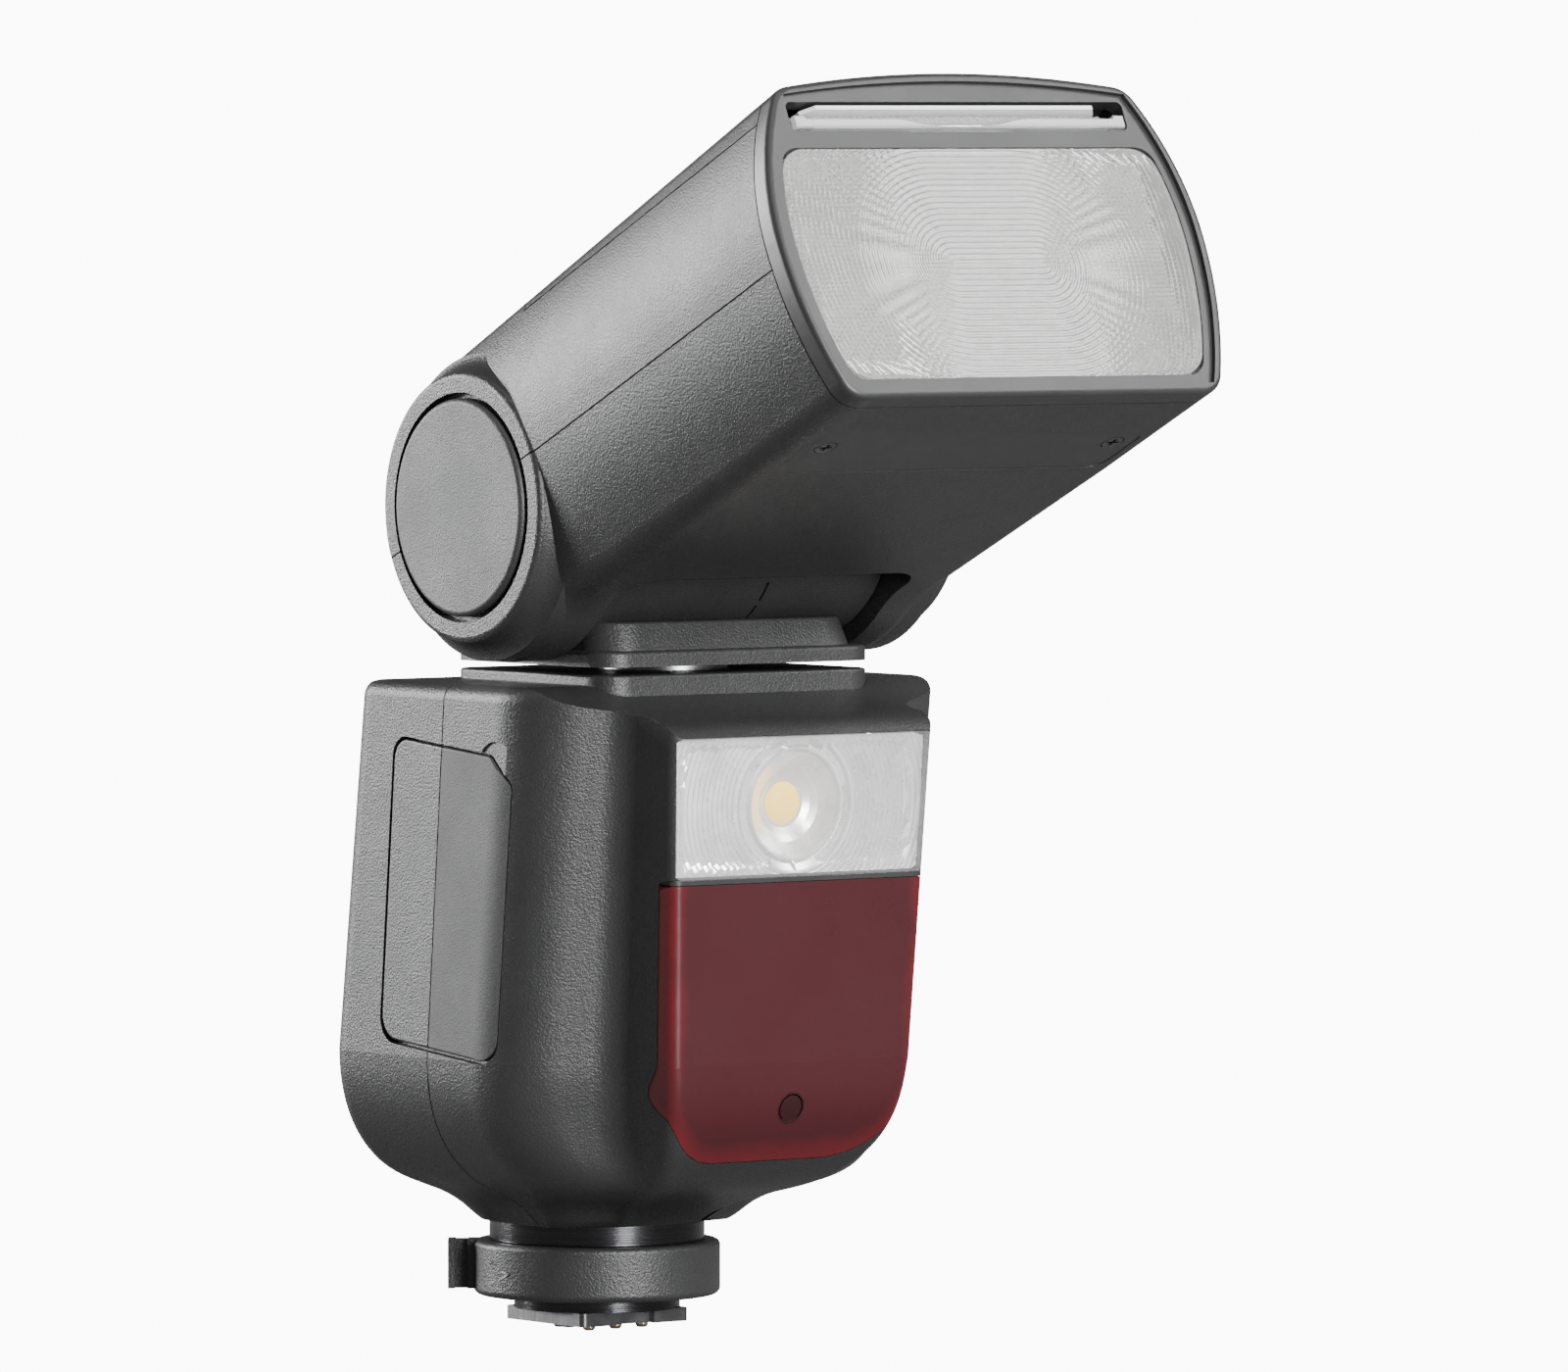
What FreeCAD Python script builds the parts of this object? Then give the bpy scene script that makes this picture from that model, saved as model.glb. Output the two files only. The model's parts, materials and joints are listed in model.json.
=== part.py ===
"""Speedlight flash with a tilting, swivelling head, as a parametric FreeCAD document.

Millimetres. +Z is up, the flash fires towards -Y and +X is the flash's left-hand side
seen from the front. The origin is the centre of the hot-shoe foot's underside. Head parts
are drawn level in the head's own frame, whose origin is the tilt axis, and are then turned
up by head_tilt.
"""
import FreeCAD, Part
import math
import os
from FreeCAD import Placement, Rotation, Vector

os.makedirs("parts", exist_ok=True)
doc = FreeCAD.newDocument("Speedlight")

SIZES = {
    # hinge positions
    "tilt_y": -18.7, "tilt_z": 115.7, "head_tilt": 24.9, "swivel_y": -15.9,
    # fits
    "run_gap": 0.3, "fit_gap": 0.05, "wall": 2.0,
    # head casing, u forward from the tilt axis and v up from it
    "head_length": 82.2, "head_bottom": 20.0, "head_half": 36.4, "head_wide_v": 3.5,
    "head_low_half": 31.4, "head_top_half": 29.8, "head_top_rear": 23.0,
    "head_top_front": 25.8, "head_crown": 2.3, "cheek_r": 21.5, "cheek_blend_r": 20.0, "head_wall": 1.8,
    "corner_r": 4.2, "parting_v": 0.3, "cover_v": 21.6, "cover_u": 18.0,
    "notch_half": 24.3, "notch_u": 19.0, "barrel_clear_r": 19.5, "hood_clear_r": 22.9,
    "rear_open_v": 20.5, "notch_r": 4.6, "relief_v": 19.2, "relief_u": 56.0,
    # hinge discs
    "disc_r": 15.1, "disc_gap_r": 15.9, "collar_r": 18.8, "collar_x": 36.7,
    "disc_x": 37.3, "disc_floor_x": 35.2,
    # head front
    "bezel_depth": 3.2, "bezel_step": 0.7, "bezel_edge": 1.5, "bezel_rim": 2.3, "lens_half_v": 17.0,
    "slot_low_v": 19.5, "slot_high_v": 23.8, "slot_half": 28.7, "lens_depth": 2.4,
    # yoke
    "yoke_half": 23.6, "yoke_front": 34.5, "yoke_rear": 2.9, "yoke_low_z": 93.7,
    "yoke_lip": 2.2, "yoke_corner": 4.5, "hood_top_z": 99.8, "barrel_r": 19.0,
    "barrel_half": 23.9, "barrel_bore_r": 15.6, "shaft_r": 6.0, "shaft_end": 34.6,
    "swivel_r": 9.0, "swivel_bore_r": 6.0, "swivel_low_z": 81.5,
    # body casing
    "body_half": 36.0, "body_top": 91.2,
    "plinth_top": 92.6, "plinth_low": 86.0, "seam_top_y": -13.9, "seam_slope": 0.083,
    "seam_z": 91.7, "panel_half": 22.0, "window_half": 21.8, "pane_taper": 0.037, "panel_deep": 2.4,
    "groove": 0.24, "groove_deep": 0.6, "led_top": 84.5, "led_low": 64.9,
    "panel_top": 64.1, "panel_low": 25.0, "panel_r": 12.0,
    "led_z": 74.8, "led_reflector_r": 8.0,
    "rear_y": 13.658, "rear_z": 52.0, "rear_rake": 7.2, "recess": 1.3,
    # controls on the rear, measured up the raked face from rear_z
    "lcd_half": 20.0, "lcd_low": 9.0, "lcd_high": 33.0, "key_row": 3.5, "key_pitch": 10.4,
    "key_half": 3.9, "key_tall": 1.7, "dial_w": -11.5, "dial_r": 11.0, "dial_hub_r": 6.6,
    "set_r": 6.2, "small_key_r": 2.7, "small_key_x": 22.5, "key_proud": 0.9,
    # power inside
    "battery_low": 36.0, "battery_high": 80.0, "battery_front": 26.4, "battery_rear": 13.8,
    "battery_deep": 44.0, "capacitor_r": 7.3,
    # foot
    "neck_r": 15.2, "neck_low": 11.6, "neck_top": 15.2, "ring_r": 17.4, "ring_low": 3.6,
    "ring_gap": 0.15, "boss_r": 11.7, "boss_low": 1.9, "shoe_x": 18.6, "shoe_y": 18.6,
    "shoe_thick": 1.9, "pin_r": 0.9, "pin_reach": 1.0, "lock_pin_r": 1.2,
}

sheet = doc.addObject("Spreadsheet::Sheet", "Sizes")
for row, (alias, size) in enumerate(SIZES.items(), start=1):
    sheet.set(f"A{row}", alias)
    sheet.set(f"B{row}", str(size))
    sheet.setAlias(f"B{row}", alias)
doc.recompute()


def size(alias):
    """The sheet's current value of one driving dimension."""
    return float(sheet.get(alias))


pieces = []


def bind(obj, prop, expression):
    """Bind a property to an expression of sheet aliases, written $alias."""
    obj.setExpression(prop, expression.replace("$", "Sizes."))


def place(obj, frame):
    """Leave an object in the row frame, or put it in the head's or rear face's frame."""
    if frame == "rear":
        obj.Placement = Placement(Vector(), Rotation(Vector(1, 0, 0), 1))
        bind(obj, "Placement.Base.y", "$rear_y")
        bind(obj, "Placement.Base.z", "$rear_z")
        bind(obj, "Placement.Rotation.Angle", "$rear_rake")
    if frame == "head":
        obj.Placement = Placement(Vector(), Rotation(Vector(1, 0, 0), -1))
        bind(obj, "Placement.Base.y", "$tilt_y")
        bind(obj, "Placement.Base.z", "$tilt_z")
        bind(obj, "Placement.Rotation.Angle", "-$head_tilt")


def piece(label, frame="row"):
    """Start a PartDesign body that becomes one node."""
    body = doc.addObject("PartDesign::Body", label)
    body.Label = label
    place(body, frame)
    pieces.append(body)
    return body


def feature(label, shape, frame="row"):
    """Store a free-form shape as one node."""
    obj = doc.addObject("Part::Feature", label)
    obj.Label = label
    obj.Shape = shape
    place(obj, frame)
    pieces.append(obj)
    return obj


def add_box(body, low, high, cut=False):
    """Box between two corners given as expressions; returns the feature."""
    kind = "PartDesign::SubtractiveBox" if cut else "PartDesign::AdditiveBox"
    box = body.newObject(kind, "Box")
    for prop, a, b in zip(("Length", "Width", "Height"), low, high):
        bind(box, prop, f"({b}) * 1mm - ({a}) * 1mm")
    for axis, a in zip("xyz", low):
        bind(box, f"Placement.Base.{axis}", a)
    doc.recompute()
    return box


TURN = {"x": Rotation(Vector(0, 1, 0), 90), "y": Rotation(Vector(1, 0, 0), -90),
        "z": Rotation()}


def add_rod(body, axis, start, length, radius, cut=False):
    """Cylinder along +axis from a start point, all given as expressions."""
    kind = "PartDesign::SubtractiveCylinder" if cut else "PartDesign::AdditiveCylinder"
    rod = body.newObject(kind, "Rod")
    bind(rod, "Radius", f"({radius}) * 1mm")
    bind(rod, "Height", f"({length}) * 1mm")
    rod.Placement = Placement(Vector(), TURN[axis])
    for name, at in zip("xyz", start):
        bind(rod, f"Placement.Base.{name}", at)
    doc.recompute()
    return rod


def round_edges(body, radius, pick, chamfer=False):
    """Fillet or chamfer the picked edges of the body's last feature."""
    base = body.Tip
    names = [f"Edge{i}" for i, edge in enumerate(base.Shape.Edges, 1) if pick(edge)]
    kind = "PartDesign::Chamfer" if chamfer else "PartDesign::Fillet"
    edge_round = body.newObject(kind, "Round")
    edge_round.Base = (base, names)
    bind(edge_round, "Size" if chamfer else "Radius", f"({radius}) * 1mm")
    doc.recompute()
    return edge_round


def along(direction):
    """Picker for straight edges parallel to a direction."""
    axis = Vector(*direction)

    def pick(edge):
        if edge.Curve.TypeId != "Part::GeomLine":
            return False
        return edge.Curve.Direction.cross(axis).Length < 1e-6
    return pick


def at_height(z, axis=2):
    """Picker for edges lying wholly in one plane across an axis."""
    def pick(edge):
        return all(abs(vertex.Point[axis] - z) < 1e-4 for vertex in edge.Vertexes)
    return pick


# ---------------------------------------------------------------- plain shape helpers
def block(x0, x1, y0, y1, z0, z1):
    return Part.makeBox(x1 - x0, y1 - y0, z1 - z0, Vector(x0, y0, z0))


def drum(axis, centre, radius, length):
    """Cylinder centred on a point along a named axis."""
    direction = {"x": Vector(1, 0, 0), "y": Vector(0, 1, 0), "z": Vector(0, 0, 1)}[axis]
    start = Vector(*centre) - direction * (length / 2)
    return Part.makeCylinder(radius, length, start, direction)


def rounded_wire(points, to_3d):
    """Closed wire of lines and tangent arcs from (a, b, corner radius) points."""
    edges = []
    count = len(points)
    ends = []
    for i, (a, b, radius) in enumerate(points):
        corner = Vector(a, b, 0)
        back = Vector(*points[i - 1][:2], 0) - corner
        ahead = Vector(*points[(i + 1) % count][:2], 0) - corner
        half = back.getAngle(ahead) / 2
        cut = radius / math.tan(half)
        back.normalize()
        ahead.normalize()
        middle = back + ahead
        middle.normalize()
        arc_mid = corner + middle * (radius / math.sin(half) - radius)
        ends.append((corner + back * cut, arc_mid, corner + ahead * cut, radius))
    for i, (start, mid, end, radius) in enumerate(ends):
        if radius > 0:
            arc = Part.Arc(to_3d(start.x, start.y), to_3d(mid.x, mid.y), to_3d(end.x, end.y))
            edges.append(arc.toShape())
        following = ends[(i + 1) % count][0]
        if end.distanceToPoint(following) > 1e-3:
            edges.append(Part.makeLine(to_3d(end.x, end.y),
                                       to_3d(following.x, following.y)))
    return Part.Wire(edges)


def slab(points, plane, start, thickness):
    """Prism of a rounded outline; plane names the outline's two axes."""
    if plane == "xy":
        wire = rounded_wire(points, lambda a, b: Vector(a, b, start))
        push = Vector(0, 0, thickness)
    elif plane == "xz":
        wire = rounded_wire(points, lambda a, b: Vector(a, start, b))
        push = Vector(0, thickness, 0)
    else:
        wire = rounded_wire(points, lambda a, b: Vector(start, a, b))
        push = Vector(thickness, 0, 0)
    return Part.Face(wire).extrude(push)


def soften(shape, radius, pick):
    """Fillet the picked edges of a plain shape."""
    edges = [edge for edge in shape.Edges if pick(edge)]
    result = shape.makeFillet(radius, edges)
    if result.isNull() or not result.isValid():
        raise RuntimeError(f"fillet of {radius} failed")
    return result


def one_solid(shape):
    """The largest solid of a boolean result."""
    return max(shape.Solids, key=lambda solid: solid.Volume)


# ---------------------------------------------------------------- body casing
# z, half width, rear y, y where the side meets the sloping front, pod half width, pod front y
BODY_SECTIONS = [
    (14.4, 15.4, 15.4, -12.6, 7.0, -15.2),
    (16.6, 17.6, 15.9, -15.2, 8.6, -18.6),
    (19.0, 21.5, 16.0, -20.0, 11.5, -26.0),
    (22.5, 28.2, 15.9, -26.4, 15.4, -36.6),
    (27.3, 32.6, 15.8, -26.6, 18.2, -42.4),
    (33.0, 35.1, 15.6, -27.0, 19.8, -45.3),
    (39.0, 36.0, 15.3, -27.9, 20.6, -46.3),
    (96.0, 36.0, 8.1, -34.8, 22.7, -49.8),
]


def body_section(z, half, rear, front, pod, pod_front, inset):
    """One level cross-section: rounded block with a rounded pod on its sloping front."""
    grow = min(1.0, (half - 15.0) / 14.0)
    spread = 0.35 + 0.65 * grow
    slope = 0.466 * spread
    rear_r = max(1.5, 13.0 - 8.0 * grow - inset)
    x, yr, p = half - inset, rear - inset, pod - inset
    valley_x = p + 1.6 * spread

    def front_at(across):
        return front - (half - across) * slope + inset * math.hypot(1, slope)

    right = [(x, yr, rear_r), (x, front_at(x), 4.0 + 8.0 * grow - inset * 0.8),
             (valley_x, front_at(valley_x), 5.0 * spread),
             (p, pod_front + inset, max(0.8, 1.7 - inset))]
    left = [(-a, b, radius) for a, b, radius in reversed(right)]
    return rounded_wire(right + left, lambda a, b: Vector(a, b, z))


def wall_section(z, inset):
    """Cross-section anywhere on the straight part of the walls."""
    below, above = BODY_SECTIONS[-2:]
    share = (z - below[0]) / (above[0] - below[0])
    return body_section(*[a + (b - a) * share for a, b in zip(below, above)], inset)


def body_loft(inset, first, rim_r):
    """The casing's side surface: rounded bowl, straight walls and a rolled top rim."""
    bowl_top, rim_z = BODY_SECTIONS[-2][0], size("body_top") - rim_r
    wires = [body_section(*section, inset) for section in BODY_SECTIONS[first:-1]]
    bowl = Part.makeLoft(wires + [wall_section(bowl_top + 4.5, inset)], True, False)
    bowl = bowl.common(block(-60, 60, -60, 60, 0, bowl_top))
    sides = Part.makeLoft([wires[-1], wall_section(rim_z, inset)], True, True)
    rim = []
    for angle in (0, 22.5, 45, 67.5, 90):
        turn = math.radians(angle)
        rim.append(wall_section(rim_z + rim_r * math.sin(turn),
                                inset + rim_r * (1 - math.cos(turn))))
    roll = Part.makeLoft(rim, True, False)
    return one_solid(bowl.multiFuse([sides, roll]).removeSplitter())


def top_profile(drop):
    """Side-view prism under the casing's top, lowered by drop."""
    z = size("body_top") - drop
    rear = [Vector(0, 24, z - 4.2), Vector(0, 4, z)]
    shoulder = Vector(0, -29.5, z)
    curve = Part.BSplineCurve()
    curve.interpolate([shoulder, Vector(0, -33.5, z - 1.0), Vector(0, -38.0, z - 3.0),
                       Vector(0, -43.5, z - 4.0), Vector(0, -47.6, z - 5.2),
                       Vector(0, -49.6, z - 7.6), Vector(0, -50.6, z - 12.0)],
                      InitialTangent=Vector(0, -1, 0), FinalTangent=Vector(0, -0.1, -1))
    end = Vector(0, -50.6, z - 12.0)
    rim = [end, Vector(0, -70, z - 12.0), Vector(0, -70, 0), Vector(0, 24, 0), rear[0]]
    edges = [Part.makeLine(rear[0], rear[1]), Part.makeLine(rear[1], shoulder),
             curve.toShape()]
    edges += [Part.makeLine(a, b) for a, b in zip(rim, rim[1:])]
    face = Part.Face(Part.Wire(edges))
    face.translate(Vector(-60, 0, 0))
    return face.extrude(Vector(120, 0, 0))


def seam_space(front):
    """Half-space in front of, or behind, the raked seam between the two shells."""
    slope = size("seam_slope")
    y_at = [size("seam_top_y") + slope * (size("seam_z") - z) for z in (0, 110)]
    far = -80 if front else 60
    outline = [(y_at[0], 0, 0), (far, 0, 0), (far, 110, 0), (y_at[1], 110, 0)]
    return slab(outline, "yz", -60, 120)


def seam_slit():
    """Thin raked slab straddling the seam between the two shells."""
    reach = size("groove") / 2
    y_at = [size("seam_top_y") + size("seam_slope") * (size("seam_z") - z) for z in (0, 110)]
    outline = [(y_at[0] + reach, 0, 0), (y_at[0] - reach, 0, 0),
               (y_at[1] - reach, 110, 0), (y_at[1] + reach, 110, 0)]
    return slab(outline, "yz", -60, 120)


body_outer = one_solid(body_loft(0.0, 0, 2.2).common(top_profile(0.0)))
body_inner = one_solid(body_loft(size("wall"), 2, 0.4).common(top_profile(2.4)))
groove_deep = size("groove_deep")
body_core = one_solid(body_loft(groove_deep, 0, 2.2 - groove_deep).common(
    top_profile(groove_deep)))
body_wall = body_outer.cut(body_inner).cut(seam_slit().cut(body_core))


# ---------------------------------------------------------------- head casing
def head_half_at(v, top_half, top_v):
    """Half width of the barrel-shaped head at a height v."""
    wide_v = size("head_wide_v")
    if v >= wide_v:
        drop, rise = size("head_half") - top_half, top_v - wide_v
    else:
        drop, rise = size("head_half") - size("head_low_half"), wide_v + size("head_bottom")
    radius = (rise ** 2 + drop ** 2) / (2 * drop)
    return size("head_half") - radius + math.sqrt(radius ** 2 - (v - wide_v) ** 2)


def head_section(u, inset):
    """Cross-section of the head at u: flat base, bowed sides and crowned roof."""
    share = u / size("head_length")
    top_v = size("head_top_rear") + (size("head_top_front") - size("head_top_rear")) * share
    top_half = size("head_top_half")
    low_v = -24.0 + inset
    high_v = top_v - inset * 0.75

    def at(v):
        return Vector(head_half_at(v, top_half, top_v) - inset, -u, v)

    mirror = [Vector(-p.x, p.y, p.z) for p in (at(low_v), at(-10), at(size("head_wide_v")),
                                              at(14), at(high_v))]
    right = [at(low_v), at(-10), at(size("head_wide_v")), at(14), at(high_v)]
    crown = Vector(0, -u, top_v + size("head_crown") - inset)
    edges = [Part.makeLine(mirror[0], right[0]),
             Part.Arc(right[0], right[1], right[2]).toShape(),
             Part.Arc(right[2], right[3], right[4]).toShape(),
             Part.Arc(right[4], crown, mirror[4]).toShape(),
             Part.Arc(mirror[4], mirror[3], mirror[2]).toShape(),
             Part.Arc(mirror[2], mirror[1], mirror[0]).toShape()]
    return Part.Wire(edges)


def head_loft(inset, u_from, u_to):
    return Part.makeLoft([head_section(u_from, inset), head_section(u_to, inset)], True, True)


def head_profile(inset):
    """Side-view prism: flat base blending into the round cheeks, and a raked rear."""
    radius = size("cheek_r") - inset
    front = size("head_length") + 1
    base = size("relief_v") - inset
    low = -size("head_bottom") + inset
    blend = size("cheek_blend_r")
    blend_u = math.sqrt((radius + blend) ** 2 - (base + blend) ** 2)
    blend_centre = Vector(0, -blend_u, -base - blend)
    touch = blend_centre * (radius / (radius + blend))
    blend_end = Vector(0, -blend_u, -base)
    towards = (touch + blend_end) * 0.5 - blend_centre
    towards.normalize()
    corner = Vector(0, 3.4 - inset, 26.2 - inset * 0.3)
    corner_angle = math.atan2(corner.z, -corner.y)
    rear_angle = corner_angle + math.acos(radius / corner.Length)
    base_angle = math.atan2(touch.z, -touch.y)

    def on_cheek(angle):
        return Vector(0, -radius * math.cos(angle), radius * math.sin(angle))

    middle = (base_angle + 2 * math.pi + rear_angle) / 2
    cheek = Part.Arc(on_cheek(base_angle), on_cheek(middle), on_cheek(rear_angle))
    hollow = Part.Arc(blend_end, blend_centre + towards * blend, touch)
    rim = [on_cheek(rear_angle), corner, Vector(0, corner.y - 0.8, 40),
           Vector(0, -front, 40), Vector(0, -front, low), Vector(0, -size("relief_u"), low),
           blend_end]
    edges = [cheek.toShape()] + [Part.makeLine(a, b) for a, b in zip(rim, rim[1:])]
    face = Part.Face(Part.Wire(edges + [hollow.toShape()]))
    face.translate(Vector(-50, 0, 0))
    return face.extrude(Vector(100, 0, 0))


def head_solid(inset, u_from, u_to):
    return one_solid(head_loft(inset, u_from, u_to).common(head_profile(inset)))


def near_corner_lines(edge):
    """The head's four long corner edges and the rims of its cheeks."""
    box = edge.BoundBox
    long_one = box.YLength > 20 and box.XLength < 12
    return long_one and abs(abs(edge.CenterOfMass.x)) > 25 and (
        edge.CenterOfMass.z < -15 or edge.CenterOfMass.z > 18)


head_outer = head_solid(0.0, -26.0, size("head_length"))
head_outer = soften(head_outer, size("corner_r"), near_corner_lines)


def head_block(x0, x1, u0, u1, v0, v1):
    """Box in the head frame, given forward distances u and heights v."""
    return block(x0, x1, -u1, -u0, v0, v1)


def collars():
    """Raised rings round the hinge discs, flowing into the cheeks in a hollow curve."""
    face, radius, foot_r = size("collar_x"), size("collar_r"), size("cheek_r") - 0.2
    rings = []
    for side in (-1, 1):
        rim = [Vector(side * 28.0, 0, 0), Vector(side * 28.0, foot_r, 0),
               Vector(side * 32.6, foot_r, 0)]
        shoulder = Vector(side * (face - 0.9), radius, 0)
        hollow = Part.Arc(rim[2], Vector(side * 33.9, radius + 0.75, 0), shoulder)
        edge_mid = Vector(side * (face - 0.26), radius - 0.26, 0)
        edge_end = Vector(side * face, radius - 0.9, 0)
        edge_arc = Part.Arc(shoulder, edge_mid, edge_end)
        centre = Vector(side * face, 0, 0)
        edges = [Part.makeLine(rim[0], rim[1]), Part.makeLine(rim[1], rim[2]),
                 hollow.toShape(), edge_arc.toShape(), Part.makeLine(edge_end, centre),
                 Part.makeLine(centre, rim[0])]
        ring = Part.Face(Part.Wire(edges)).revolve(Vector(), Vector(1, 0, 0), 360)
        rings.append(one_solid(ring.common(head_profile(0.0))))
    return rings


def yoke_space():
    """Everything the yoke needs free inside the head over the whole tilt."""
    half = size("notch_half")
    drum_space = drum("x", (0, 0, 0), size("barrel_clear_r"), 2 * half)
    sweep = drum("x", (0, 0, 0), size("hood_clear_r"), 2 * half)
    rear_opening = head_block(-half, half, -40, 3, -40, size("rear_open_v"))
    front_sweep = sweep.common(head_block(-half, half, -5, 30, -40, -12.4))
    notch = soften(head_block(-half, half, -40, size("notch_u"), -40, -15.5), size("notch_r"),
                   lambda edge: edge.BoundBox.ZLength > 20 and edge.CenterOfMass.y < 0)
    return [drum_space, rear_opening, front_sweep, notch]


def lens_outline(inset, u0, u1):
    """The lens opening, bowed like the head's sides."""
    bowed = head_loft(size("bezel_rim") + 0.7 + inset, u0, u1)
    half_v = size("lens_half_v") - inset
    window = bowed.common(head_block(-40, 40, u0, u1, -half_v, half_v))
    return soften(one_solid(window), 3.2 - inset, lambda edge: edge.BoundBox.YLength > 0.5
                  and edge.BoundBox.XLength < 3 and edge.BoundBox.ZLength < 1)


front_u = size("head_length") - size("bezel_depth")
head_inner = head_solid(size("head_wall"), 24.0, front_u + 1)
head_wall = head_outer.multiFuse(collars()).cut(head_inner).cut(yoke_space())
for side in (-1, 1):
    floor_x = size("disc_floor_x")
    head_wall = head_wall.cut(drum("x", (side * (floor_x + 5), 0, 0),
                                   size("disc_gap_r"), 10))
    head_wall = head_wall.cut(drum("x", (side * 30, 0, 0),
                                   size("shaft_r") + size("fit_gap"), 14))
bezel_space = head_block(-60, 60, front_u, 100, -60, 60)
head_core = head_solid(groove_deep, -26.0, size("head_length"))
head_core = soften(head_core, size("corner_r") - groove_deep, near_corner_lines)


def head_grooves():
    """Fine grooves where the head's mouldings meet."""
    width = size("groove")
    reach, parting, rim = width / 2, size("parting_v"), size("cover_v")
    start = size("cover_u")
    outer = head_block(-60, 60, start - reach, front_u, rim - reach, 60)
    island = head_block(-60, 60, start + reach, 99, rim + reach, 60)
    bands = [head_block(-60, 60, -60, front_u, parting - reach, parting + reach),
             outer.cut(island), head_block(-60, 60, front_u - width, front_u, -60, 60)]
    return [band.cut(head_core) for band in bands]


head_wall = head_wall.cut(head_grooves())
cover_space = head_block(-60, 60, size("cover_u"), front_u, size("cover_v"), 60)
upper_space = head_block(-60, 60, -60, front_u, size("parting_v"), 60)
lower_space = head_block(-60, 60, -60, front_u, -60, size("parting_v"))

cover = one_solid(head_wall.common(cover_space))
upper_shell = one_solid(head_wall.common(upper_space).cut(cover_space))
lower_shell = one_solid(head_wall.common(lower_space))
label_outline = [(-27.0, -72.0, 2.5), (28.0, -68.5, 2.5), (28.0, -57.0, 2.5),
                 (-27.0, -57.0, 2.5)]
label_pocket = slab(label_outline, "xy", -22.0, 2.7)


def head_shells():
    screw_holes = [drum("z", (x, -65.3, -20), 1.6, 8) for x in (-24.5, 24.5)]
    feature("head_lower_shell", lower_shell.cut(label_pocket).cut(screw_holes), "head")
    feature("head_upper_shell", upper_shell, "head")
    feature("head_top_cover", cover, "head")
    label = slab(label_outline, "xy", -19.9, 0.55).cut(
        [drum("z", (x, -65.3, -20), 1.7, 8) for x in (-24.5, 24.5)])
    feature("label_plate", label, "head")


def screw(centre, axis, head_r, shank_r, length, outward):
    """Countersunk cross-head screw whose head faces outward along the axis."""
    unit = {"x": Vector(1, 0, 0), "y": Vector(0, 1, 0), "z": Vector(0, 0, 1)}[axis] * outward
    top = Vector(*centre)
    body = Part.makeCylinder(head_r, 0.7, top, unit * -1)
    body = body.fuse(Part.makeCylinder(shank_r, length, top, unit * -1))
    for turn in (0, 90):
        slot = Part.makeBox(head_r * 1.3, 0.5, 0.8, Vector(-head_r * 0.65, -0.25, -0.4))
        slot.rotate(Vector(), Vector(0, 0, 1), turn)
        slot.Placement = Placement(top, Rotation(Vector(0, 0, 1), unit)).multiply(
            slot.Placement)
        body = body.cut(slot)
    return body


def head_front():
    """Bezel frame, flash lens, and the two pull-out panels in the slot above it."""
    rim = head_outer.common(bezel_space)
    rim = soften(rim, 0.9, lambda edge: edge.CenterOfMass.y < -size("head_length") + 0.05)
    slot = head_block(-size("slot_half"), size("slot_half"), 70, 90,
                      size("slot_low_v"), size("slot_high_v"))
    slot = soften(slot, 0.9, lambda edge: edge.BoundBox.YLength > 5)
    floor_u = size("head_length") - size("bezel_step")
    face = head_solid(size("bezel_edge"), floor_u, 90)
    scoop = drum("y", (0, -floor_u, 37.8), 20.4, 0.8).common(
        head_block(-15, 15, 80, 84, 16, size("slot_low_v") + 1))
    frame = rim.cut([face, scoop, lens_outline(0.0, 70, 90), slot])
    feature("front_bezel", one_solid(frame), "head")
    lens_front = size("head_length") - 0.8
    lens = lens_outline(0.12, lens_front - size("lens_depth"), lens_front)
    feature("flash_lens", lens, "head")
    low, high = size("slot_low_v"), size("slot_high_v")
    tab = drum("z", (0, -size("head_length") - 7.5, low + 1.1), 9.0, 2.0)
    half = size("slot_half") - 3.6
    plate = head_block(-half, half, 36, 80.4, low + 0.3, low + 1.5)
    lip = head_block(-half - 3.2, half + 3.2, 79.4, 82.0, low + 0.3, low + 2.1)
    feature("wide_panel", plate.fuse(lip).cut(tab), "head")
    card = head_block(-half, half, 36, 80.4, high - 1.5, high - 0.6)
    card_lip = head_block(-half, half, 79.6, 81.7, high - 1.5, high - 0.4)
    feature("bounce_card", card.fuse(card_lip), "head")


def head_discs():
    """Round caps over the tilt bearings, and the cross-head screws of the head."""
    for side, name in ((-1, "left"), (1, "right")):
        cap = piece(f"hinge_disc_{name}", "head")
        start = "$disc_floor_x" if side > 0 else "-$disc_x"
        add_rod(cap, "x", (start, "0", "0"), "$disc_x - $disc_floor_x", "$disc_r")
        outer = side * size("disc_x")
        round_edges(cap, "0.8", lambda edge: abs(edge.CenterOfMass.x - outer) < 0.01
                    and edge.BoundBox.XLength < 0.01)
    screws = [screw((x, -65.3, -19.9), "z", 1.55, 0.9, 5, -1) for x in (-24.5, 24.5)]
    feature("head_screws", Part.makeCompound(screws), "head")


def trough(front_half, front_v, rear_half, rear_v, u0, u1):
    wires = []
    for half, v, u in ((rear_half, rear_v, u0), (front_half, front_v, u1)):
        outline = [(half, -v, v * 0.5), (half, v, v * 0.5), (-half, v, v * 0.5),
                   (-half, -v, v * 0.5)]
        wires.append(rounded_wire(outline, lambda a, b: Vector(a, -u, b)))
    return Part.makeLoft(wires, True, True)


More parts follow.
